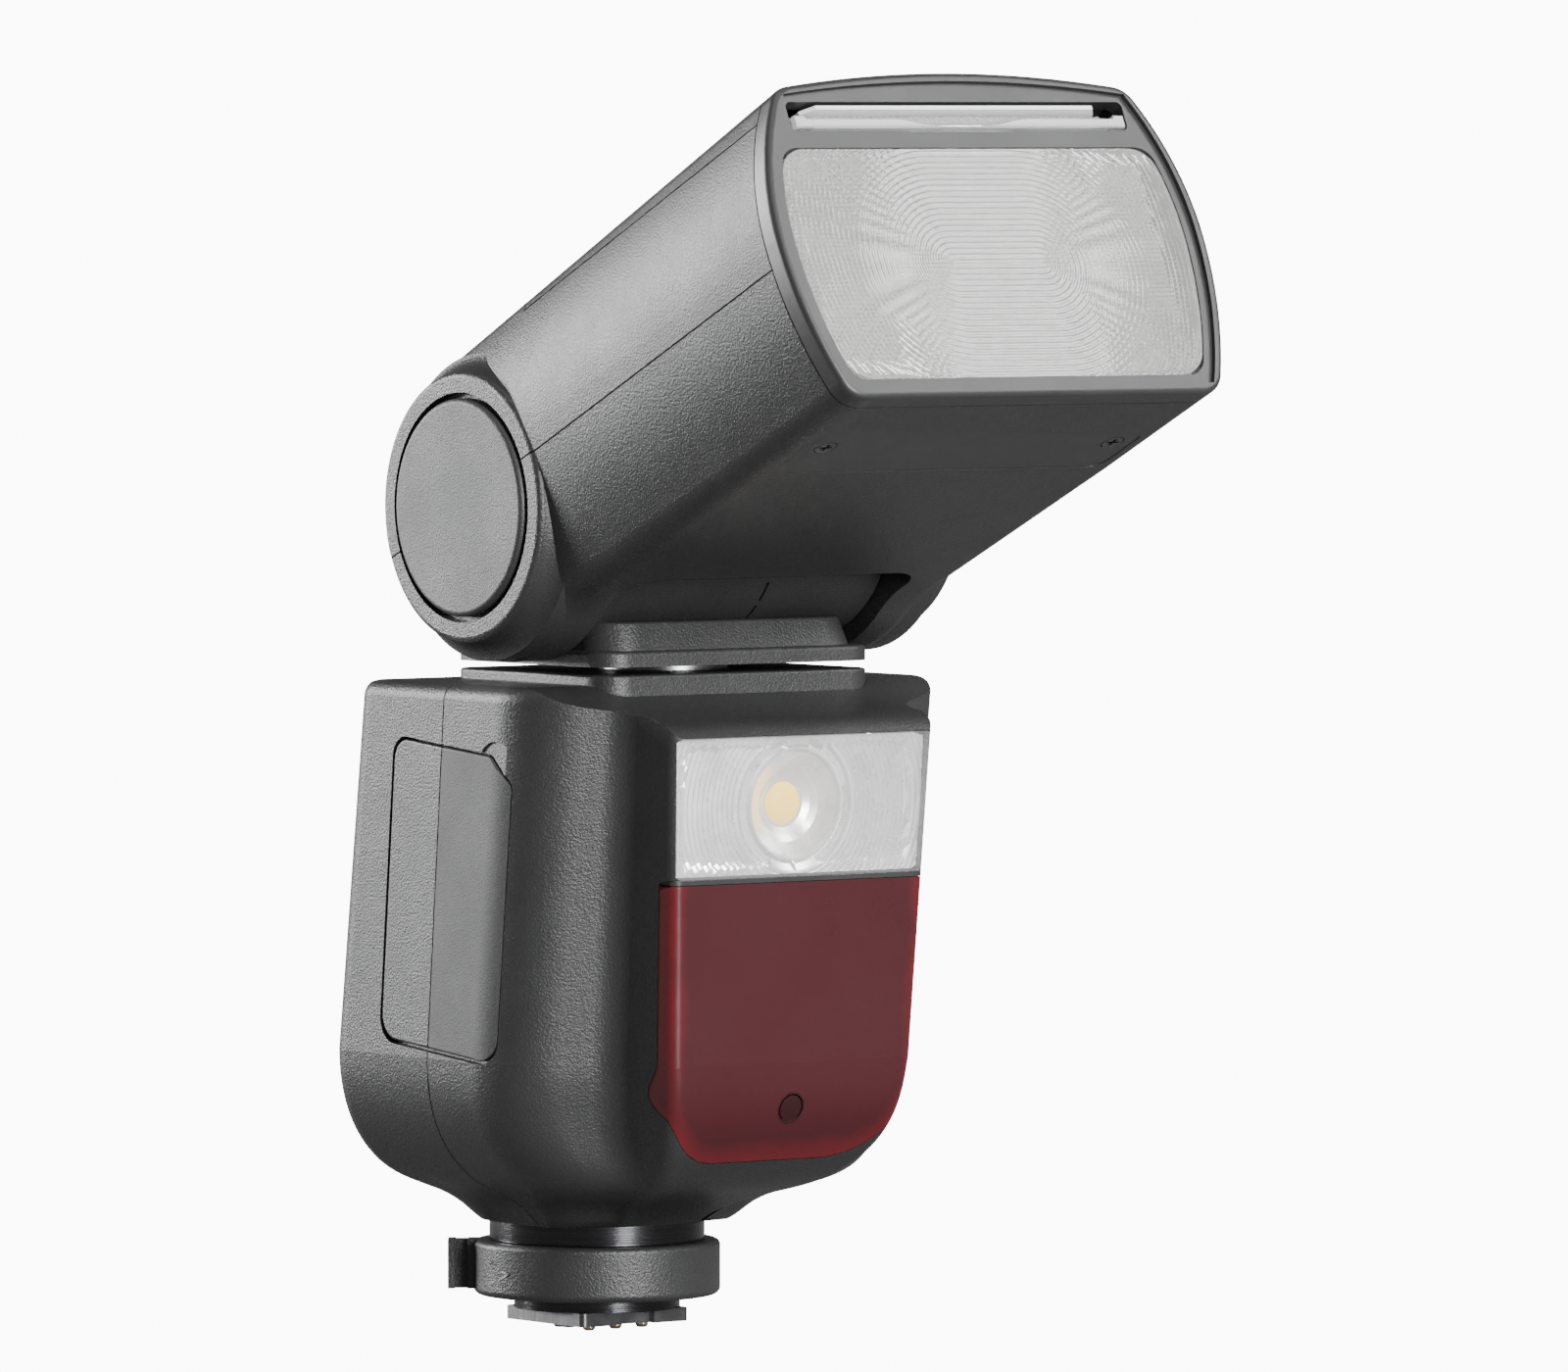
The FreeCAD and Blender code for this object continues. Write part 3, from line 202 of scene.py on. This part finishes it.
def metal(name, colour, roughness, streak=(1, 1, 40)):
    """Turned or drawn metal: streaks along one axis in colour, gloss and relief."""
    made = Material(name)
    lines = made.noise(60.0, 5.0, 0.65, made.place(streak))
    made.colour(made.ramp(lines, [c * 0.78 for c in colour],
                          [min(1.0, c * 1.12) for c in colour]))
    made.rough(made.span(lines, roughness * 0.8, roughness * 1.25))
    made.bump(lines, 0.00002)
    made.set(Metallic=1.0)
    return made.mat


def clear_plastic(name, colour, roughness, **inputs):
    """Clear moulded acrylic with faint flow marks, as a Material that can still be changed."""
    made = Material(name)
    flow = made.noise(40.0, 3.0, 0.5)
    made.rough(made.span(flow, roughness, roughness + 0.04))
    made.set(Base_Color=(*colour, 1.0), IOR=1.49, **inputs)
    return made


def silvered(name, roughness, shine):
    """Vacuum-metallised reflector, slightly orange-peeled."""
    made = Material(name)
    peel = made.noise(260.0, 2.0, 0.5)
    made.colour(made.ramp(peel, 0.88, 0.95))
    made.rough(made.span(peel, roughness - 0.04, roughness + 0.04))
    made.bump(peel, 0.00003)
    made.set(Metallic=shine)
    return made.mat


def red_pane_material():
    """Dark red pane: murky over the sensor, brighter round its rim as a painted glow of light through its edges,
    round beam window.
    """
    made = Material("red_pane")
    cloud = made.noise(70.0, 4.0, 0.6)
    axes = made.axes()
    across, up = axes["X"], axes["Z"]
    # The painted rim glow is measured from an upright core, 20 mm wide, that ends 37 mm above the foot.
    side = made.beyond(made.math("ABSOLUTE", across), 10.0)
    down = made.math("MAXIMUM", made.math("SUBTRACT", 37.0, up), 0.0)
    rim = made.math("ADD", made.reach(side, down), made.span(cloud, -0.8, 0.8))
    eye_x, eye_z = 0.4, 32.6
    ring = made.reach(made.math("SUBTRACT", across, eye_x), made.math("SUBTRACT", up, eye_z))
    # The pane's own dark red in the middle, lightened towards the rim by painted glow that stands in for light
    # through its edges.
    tint = made.ramp(made.span(rim, 0.0, 1.0, 8.6, 12.2),
                     (0.052, 0.0085, 0.0115), (0.15, 0.009, 0.014), 0.0, 1.0)
    shade = made.ramp(made.span(ring, 0.0, 1.0, 2.1, 2.4), 0.45, 1.0, 0.0, 1.0)
    mix = made.node("ShaderNodeMix", data_type="RGBA", blend_type="MULTIPLY")
    mix.inputs["Factor"].default_value = 1.0
    made.link(tint, mix.inputs[6])
    made.link(shade, mix.inputs[7])
    made.colour(mix.outputs[2])
    made.rough(made.span(cloud, 0.27, 0.34))
    made.set(Transmission_Weight=0.15, IOR=1.49)
    return made.mat


def phosphor():
    """Yellow LED phosphor, faintly glowing."""
    made = Material("phosphor")
    cell = made.noise(2500.0, 2.0, 0.5)
    made.colour(made.ramp(cell, (0.92, 0.55, 0.01), (0.98, 0.66, 0.03)))
    made.rough(made.span(cell, 0.35, 0.5))
    made.set(Emission_Color=(1.0, 0.6, 0.02, 1.0), Emission_Strength=0.7)
    return made.mat


def board_material():
    """Green circuit board with its glass weave."""
    made = Material("circuit_board")
    weave = made.noise(900.0, 3.0, 0.6)
    made.colour(made.ramp(weave, (0.01, 0.09, 0.04), (0.02, 0.16, 0.07)))
    made.rough(made.span(weave, 0.3, 0.45))
    made.bump(weave, 0.00002)
    return made.mat


def card_material():
    """White card with a fine pulp."""
    made = Material("white_card")
    pulp = made.noise(1400.0, 3.0, 0.6)
    made.colour(made.ramp(pulp, 0.8, 0.88))
    made.rough(made.span(pulp, 0.5, 0.65))
    made.bump(pulp, 0.00001)
    return made.mat


def display_glass():
    """Dark display glass with a faint smear."""
    made = Material("display")
    smear = made.noise(60.0, 3.0, 0.5)
    made.colour(made.ramp(smear, (0.012, 0.013, 0.015), (0.018, 0.019, 0.022)))
    made.rough(made.span(smear, 0.05, 0.12, 0.35, 0.65))
    made.set(Coat_Weight=0.6, Coat_Roughness=0.05)
    return made.mat


def add_lens_rings(made):
    """Shallow ridges that run level across the lens and curl round at both ends."""
    straight_half, waves_per_mm = 7.5, 7.4
    axes = made.axes()
    up = made.math("ADD", made.math("MULTIPLY", axes["Y"], TILT_SIN),
                   made.math("MULTIPLY", axes["Z"], TILT_COS))
    lens_axis = round(PIVOT_Y * TILT_SIN + PIVOT_Z * TILT_COS, 2)
    up = made.math("SUBTRACT", up, lens_axis)
    side = made.beyond(made.math("ABSOLUTE", axes["X"]), straight_half)
    wave = made.math("SINE", made.math("MULTIPLY", made.reach(side, up), waves_per_mm))
    made.bump(wave, 0.00005, 0.6)


casing = moulded("casing", 0.024, 0.4, 3000.0, 0.00011)
lens_clear = clear_plastic("lens", (1.0, 0.995, 0.98), 0.05, Transmission_Weight=0.84)
add_lens_rings(lens_clear)
window_clear = clear_plastic("led_window", (1.0, 1.0, 1.0), 0.04, Alpha=0.1)
panel_clear = clear_plastic("wide_panel", (0.99, 0.995, 1.0), 0.06, Transmission_Weight=0.72)
mirror_silver = silvered("silver", 0.3, 0.35)
trough_silver = silvered("trough", 0.25, 0.45)
plate_silver = silvered("plate", 0.28, 0.72)
led_yellow = phosphor()
card_white = card_material()

FINISH = {
    "casing": casing,
    "cap": moulded("disc_cap", 0.026, 0.46, 4200.0, 0.00007),
    "bezel": moulded("bezel", 0.024, 0.38, 6500.0, 0.00003),
    "ink_label": moulded("label", 0.03, 0.44, 6500.0, 0.00002),
    "rubber": moulded("rubber", 0.034, 0.55, 5600.0, 0.00005),
    "key": moulded("keys", 0.045, 0.5, 8000.0, 0.00003),
    "can": moulded("sleeve", 0.03, 0.35, 3000.0, 0.00002),
    "steel": metal("steel", (0.62, 0.62, 0.63), 0.28),
    "dark_metal": metal("dark_metal", (0.05, 0.05, 0.053), 0.2, (1, 1, 90)),
    "shoe_metal": metal("shoe_metal", (0.16, 0.16, 0.165), 0.33, (3, 40, 3)),
    "black_steel": metal("black_steel", (0.12, 0.12, 0.125), 0.3),
    "contact": metal("contact", (0.8, 0.66, 0.38), 0.22),
    "clear": lens_clear.mat,
    "clear_panel": panel_clear.mat,
    "white_card": card_white,
    "red_pane": red_pane_material(),
    "silver": mirror_silver,
    "board": board_material(),
    "led": led_yellow,
    "black_gloss": display_glass(),
}
for entry in frame["record"]["subparts"]:
    mesh = nodes[entry["node"]].data
    mesh.materials.clear()
    mesh.materials.append(FINISH[entry["material_slot"]])
nodes["led_window"].data.materials[0] = window_clear.mat


# ---------------------------------------------------------------- detail pieces
def at_head(x, u, v):
    """Row-frame point, in metres, of a head point given in millimetres."""
    return Vector((x, PIVOT_Y - TILT_COS * u + TILT_SIN * v,
                   PIVOT_Z + TILT_SIN * u + TILT_COS * v)) * MM


def add_piece(name, points, faces, body, material, stands_for=(), smooth=False):
    """Mesh piece from row-frame points, riding on a body."""
    mesh = bpy.data.meshes.new(name)
    mesh.from_pydata([tuple(p) for p in points], [], faces)
    work = bmesh.new()
    work.from_mesh(mesh)
    bmesh.ops.recalc_face_normals(work, faces=work.faces)
    work.to_mesh(mesh)
    work.free()
    if smooth:
        mesh.shade_smooth()
    mesh.materials.append(material)
    obj = bpy.data.objects.new(name, mesh)
    bpy.context.scene.collection.objects.link(obj)
    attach(obj, body)
    if stands_for:
        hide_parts(*stands_for)


def grid_faces(rows, columns, start=0, wrap=False):
    """Quads over a grid of points stored row by row."""
    faces = []
    for j in range(rows - 1):
        for i in range(columns if wrap else columns - 1):
            a, b = start + j * columns + i, start + j * columns + (i + 1) % columns
            faces.append((a, b, b + columns, a + columns))
    return faces


def end_caps(rows, columns, start=0):
    """Faces that close the first and the last ring of a wrapped grid."""
    last = start + (rows - 1) * columns
    return [tuple(range(start, start + columns)), tuple(range(last, last + columns))]


def closed_sheet(front, back, rows, columns):
    """Points and faces of a closed plate between two grids of points."""
    count = rows * columns
    faces = grid_faces(rows, columns) + grid_faces(rows, columns, count)
    rim = (list(range(columns)) + [j * columns + columns - 1 for j in range(1, rows)]
           + [(rows - 1) * columns + i for i in range(columns - 2, -1, -1)]
           + [j * columns for j in range(rows - 2, 0, -1)])
    for a, b in zip(rim, rim[1:] + rim[:1]):
        faces.append((a, b, b + count, a + count))
    return front + back, faces


def lens_half(v):
    """Half width of the bowed flash lens at a height."""
    head_half, widest_v, rim = 36.4, 3.5, 3.14
    corner_v, corner_r = 13.8, 3.05
    bow = 40.97 if v >= widest_v else 57.7
    half = head_half - bow + math.sqrt(bow ** 2 - (v - widest_v) ** 2) - rim
    into = abs(v) - corner_v
    if into > 0:
        half -= corner_r - math.sqrt(max(0.0, corner_r ** 2 - into ** 2))
    return half


def lens_columns():
    """Places across the lens, from -1 to 1: wide in the middle, fine where the ridges are."""
    shares = [0.0]
    while shares[-1] < 0.985:
        shares.append(shares[-1] + (0.045 if shares[-1] < 0.35 else 0.0125))
    return [-share for share in reversed(shares[1:])] + shares


def flash_lens():
    """Prismatic lens: level ridges behind, bowed upright ridges in front of both sides."""
    rows, half_high = 105, 16.84
    front_u, back_u = 81.38, 79.1
    ridge_depth, step_depth = 0.17, 0.15
    ridge_from, ridge_fade = 0.38, 0.4
    shares = lens_columns()
    front, back = [], []
    for j in range(rows):
        v = half_high * (2 * j / (rows - 1) - 1)
        half = lens_half(v)
        for i, share in enumerate(shares):
            spread = max(0.0, min(1.0, (abs(share) - ridge_from) / ridge_fade))
            edge = j in (0, rows - 1) or i in (0, len(shares) - 1)
            ridge = 0.0 if edge else ridge_depth * spread * (i % 2)
            step = 0.0 if edge else step_depth * (j % 2)
            x = share / shares[-1] * half
            front.append(at_head(x, front_u - ridge, v))
            back.append(at_head(x, back_u + step, v))
    points, faces = closed_sheet(front, back, rows, len(shares))
    add_piece("prism_lens", points, faces, "head", lens_clear.mat, ["flash_lens"])


def ring_outline(half, high, radius):
    """Rounded rectangle as (x, v) points."""
    steps = 5
    points = []
    for turn, sx, sv in ((0, 1, 1), (90, -1, 1), (180, -1, -1), (270, 1, -1)):
        for k in range(steps + 1):
            angle = math.radians(turn + 90 * k / steps)
            points.append((sx * (half - radius) + radius * math.cos(angle),
                           sv * (high - radius) + radius * math.sin(angle)))
    return points


def swept_box(stations, corner):
    """Skin through rounded rectangles at (u, half width, half height) stations."""
    points, count = [], 0
    for u, half, high in stations:
        ring = ring_outline(half, high, min(high * 0.5, corner))
        count = len(ring)
        points += [at_head(x, u, v) for x, v in ring]
    return points, grid_faces(len(stations), count, wrap=True), count


def trough_wall(start, half, high):
    """Stations of a trough that opens as the square root of its depth."""
    depth, widening, rising, steps = 25.4, 9.2, 10.6, 12
    wall = []
    for k in range(steps + 1):
        share = k / steps
        wall.append((start + depth * share, half + widening * math.sqrt(share),
                     high + rising * math.sqrt(share)))
    return wall


def light_box():
    """Silvered sleeve behind the lens, and the zooming trough with its brim."""
    sleeve = [(58.0, 28.9, 15.9), (58.0, 28.5, 15.5), (78.6, 30.4, 16.4), (78.6, 30.9, 16.9),
              (58.0, 28.9, 15.9)]
    points, faces, _ = swept_box(sleeve, 3.0)
    add_piece("lens_sleeve", points, faces, "head", mirror_silver)
    inner, outer = trough_wall(40.6, 17.0, 3.2), trough_wall(40.1, 17.4, 3.6)
    brim = [(66.0, 28.2, 15.2), (65.5, 28.2, 15.2)]
    trough = inner + brim + outer[::-1]
    points, faces, count = swept_box(trough, 4.0)
    faces += end_caps(len(trough), count)
    add_piece("zoom_trough", points, faces, "zoom", trough_silver, ["reflector"],
              smooth=True)


def behind_window(x, z, depth):
    """Row-frame point, in metres, a depth behind the LED window's raked inner face."""
    face_y, face_z, rake = -44.9, 39.0, 0.0614
    return Vector((x, face_y - (z - face_z) * rake + depth, z)) * MM


def led_profile():
    """(radius, depth) rings: dish round the emitter, its rim, then grooves to the corners."""
    rings = [(2.7, 3.0), (3.4, 2.95), (4.4, 2.6), (5.4, 2.0), (6.2, 1.3), (6.9, 0.6),
             (7.3, 0.15), (7.6, -0.1), (7.9, -0.1), (8.3, 0.2), (9.2, 0.2), (9.5, -0.1),
             (9.8, -0.1), (10.0, 0.3)]
    groove, corner, pitch = 10.15, 24.0, 0.85
    while groove < corner:
        rings += [(groove, 0.0), (groove + 0.52, 0.08), (groove + 0.6, 0.6),
                  (groove + 0.76, 0.6)]
        groove += pitch
    return rings


def led_plate():
    """Ringed silver plate close behind the LED window, its dish and the yellow emitter."""
    across, low, high = 21.5, 65.2, 84.2
    flat_across, flat_low, flat_high = 19.2, 66.5, 82.9
    gap, rim_gap, steps = 0.4, 0.03, 128
    profile = led_profile()
    points, outside = [], []
    for r, depth in profile:
        for k in range(steps):
            angle = 2 * math.pi * k / steps
            x, rise = r * math.cos(angle), r * math.sin(angle)
            shrink = min(1.0, across / max(abs(x), 1e-6), (high - LED_Z) / max(rise, 1e-6),
                         (low - LED_Z) / min(rise, -1e-6))
            x, z = x * shrink, LED_Z + rise * shrink
            outside.append(shrink < 0.9999)
            border = abs(x) > flat_across or not flat_low < z < flat_high
            points.append(behind_window(x, z, rim_gap + depth * 0.3 if border else gap + depth))
    faces = [face for face in grid_faces(len(profile), steps, wrap=True)
             if not all(outside[i] for i in face)]
    add_piece("led_plate", points, faces, "body", plate_silver,
              ["led_reflector"])
    # (radius, depth) of the dome's rings, from its rear edge to its blunt tip
    dome_rings = ((3.0, 3.5), (3.0, 3.0), (2.6, 2.75), (2.4, 2.45), (1.8, 2.2), (1.0, 2.05),
                  (0.3, 2.0))
    steps, dome = 40, []
    for r, depth in dome_rings:
        for k in range(steps):
            angle = 2 * math.pi * k / steps
            dome.append(behind_window(r * math.cos(angle), LED_Z + r * math.sin(angle),
                                      gap + depth))
    faces = grid_faces(len(dome_rings), steps, wrap=True) + end_caps(len(dome_rings), steps)
    add_piece("led_dome", dome, faces, "body", led_yellow, ["led_emitter"],
              smooth=True)


def panel_edge(x):
    """Height of the wide panel's front lip, dipping to a finger notch in the middle."""
    lip_v, notch_half, notch_depth = 21.15, 11.0, 1.05
    share = max(0.0, 1.0 - (abs(x) / notch_half) ** 2)
    return lip_v - notch_depth * (3 * share ** 2 - 2 * share ** 3)


def wide_panel():
    """Ribbed clear plate with a notched lip and stepped end blocks."""
    rear, lip_rear, front = 36.0, 79.4, 82.0
    low, plate_top, lip_top = 19.82, 21.0, 22.3
    half, columns, rib_depth, soft = 25.1, 89, 0.16, 0.2
    points = []
    for k in range(columns):
        x = half * (2 * k / (columns - 1) - 1)
        top, rib = panel_edge(x), rib_depth * (k % 2)
        section = [(rear, low), (front - 0.25, low), (front, low + soft), (front, top - 0.14),
                   (front - 0.15, top), (front - 0.7, top + 0.04 - rib * 0.5),
                   (front - 1.9, lip_top - rib), (lip_rear, lip_top - rib),
                   (lip_rear, plate_top), (rear, plate_top)]
        points += [at_head(x, u, v) for u, v in section]
    faces = grid_faces(columns, len(section), wrap=True) + end_caps(columns, len(section))
    # Each end block steps up, then falls off: (x, front, top) of its sections.
    block = [(25.15, front, 21.2), (26.2, front, 21.2), (26.5, front, 21.68),
             (28.0, 81.9, 21.68), (28.3, 81.3, 21.4)]
    for side in (-1, 1):
        base = len(points)
        for x, u, v in block:
            section = [(lip_rear, low), (u - soft, low), (u, low + soft), (u, v - soft),
                       (u - 0.25, v), (lip_rear, v)]
            points += [at_head(side * x, *point) for point in section]
        faces += grid_faces(len(block), len(section), base, wrap=True)
        faces += end_caps(len(block), len(section), base)
    add_piece("ribbed_panel", points, faces, "wide_panel", panel_clear.mat,
              ["wide_panel"])


def card_sheet():
    """Thin white card with clipped front corners."""
    rear, shoulder, front = 36.0, 79.4, 81.4
    half, front_half = 25.1, 23.6
    outline = [(-half, rear), (half, rear), (half, shoulder), (front_half, front),
               (-front_half, front), (-half, shoulder)]
    points = [at_head(x, u, v) for v in (22.75, 23.3) for x, u in outline]
    faces = grid_faces(2, len(outline), wrap=True) + end_caps(2, len(outline))
    add_piece("card_sheet", points, faces, "bounce_card", card_white,
              ["bounce_card"])


def turn_arrow():
    """Raised chevron on the lock ring pointing the way it turns."""
    ring_r, middle, half_line = 17.4, math.radians(183.0), 0.22
    # (distance round the ring, height, lean of the end) of the chevron's three corners
    corners = ((-2.6, 8.9, 0.012), (1.6, 7.3, 0.012), (-2.6, 5.7, -0.012))
    points, faces = [], [(0, 1, 3, 2), (8, 9, 11, 10)]
    for along, z, lean in corners:
        for r in (ring_r - 0.2, ring_r + 0.12):
            for side in (-1, 1):
                turn = middle + along / ring_r + side * lean
                points.append(Vector((r * math.cos(turn), r * math.sin(turn),
                                      z + side * half_line)) * MM)
    for b in (0, 4):
        faces += [(b + i, b + j, b + j + 4, b + i + 4) for i, j in
                  ((0, 1), (2, 3), (0, 2), (1, 3))]
    add_piece("turn_arrow", points, faces, "lock_ring", casing)


flash_lens()
light_box()
led_plate()
wide_panel()
card_sheet()
turn_arrow()


# ---------------------------------------------------------------- stage
ROOM_LIGHT = 0.14
STAGE_GLOW = 11.0
LAMPS = (  # name, place in metres, width and height, watts
    ("rear_left", (-0.6, 1.05, 0.34), (0.4, 0.55), 27),
    ("key", (-0.12, -1.6, 0.4), (0.34, 0.95), 60),
    ("front_right", (0.9, -0.95, 0.95), (0.7, 0.7), 18),
    ("top", (-0.1, -0.2, 1.3), (0.8, 0.8), 5),
)


def camera_glow(tree, glow_kind, output):
    """Seen directly, the stage glows white; to the object it stays what it was."""
    glow = tree.nodes.new(glow_kind)
    glow.inputs["Color"].default_value = WHITE
    glow.inputs["Strength"].default_value = STAGE_GLOW
    path = tree.nodes.new("ShaderNodeLightPath")
    mix = tree.nodes.new("ShaderNodeMixShader")
    surface = tree.nodes[output].inputs["Surface"]
    tree.links.new(path.outputs["Is Camera Ray"], mix.inputs["Fac"])
    tree.links.new(surface.links[0].from_socket, mix.inputs[1])
    tree.links.new(glow.outputs[0], mix.inputs[2])
    tree.links.new(mix.outputs["Shader"], surface)


def floor_and_light():
    """White floor and room, with soft boxes behind on the left, in front and above."""
    low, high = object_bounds()
    middle = (low + high) / 2
    bpy.ops.mesh.primitive_plane_add(size=40, location=(0, 0, -0.002))
    floor = bpy.context.object
    floor.name = "floor"
    ground = Material("floor")
    mottle = ground.noise(3.0, 4.0, 0.5)
    ground.colour(ground.ramp(mottle, 0.16, 0.18))
    ground.set(Roughness=0.9)
    camera_glow(ground.tree, "ShaderNodeEmission", "Material Output")
    floor.data.materials.append(ground.mat)
    world = bpy.data.worlds.new("studio")
    bpy.context.scene.world = world
    world.use_nodes = True
    room = world.node_tree.nodes["Background"]
    room.inputs["Color"].default_value = WHITE
    room.inputs["Strength"].default_value = ROOM_LIGHT
    camera_glow(world.node_tree, "ShaderNodeBackground", "World Output")
    for name, place, size, watts in LAMPS:
        data = bpy.data.lights.new(name, "AREA")
        data.shape = "RECTANGLE"
        data.size, data.size_y = size
        data.energy = watts
        lamp = bpy.data.objects.new(name, data)
        bpy.context.scene.collection.objects.link(lamp)
        lamp.location = place
        lamp.rotation_euler = (middle - Vector(place)).to_track_quat("-Z", "Y").to_euler()


def camera():
    """Long lens from the front left, as fitted to the photo with the CAD's main sizes."""
    place, forward = (-1.0961, -1.5128, 0.1708), Vector((0.5975, 0.8006, -0.0435))
    data = bpy.data.cameras.new("camera")
    obj = bpy.data.objects.new("camera", data)
    bpy.context.scene.collection.objects.link(obj)
    data.sensor_width = 36.0
    data.lens = 304.8
    data.clip_start, data.clip_end = 0.05, 20
    obj.location = place
    obj.rotation_euler = forward.to_track_quat("-Z", "Y").to_euler()
    bpy.context.scene.camera = obj


floor_and_light()
camera()
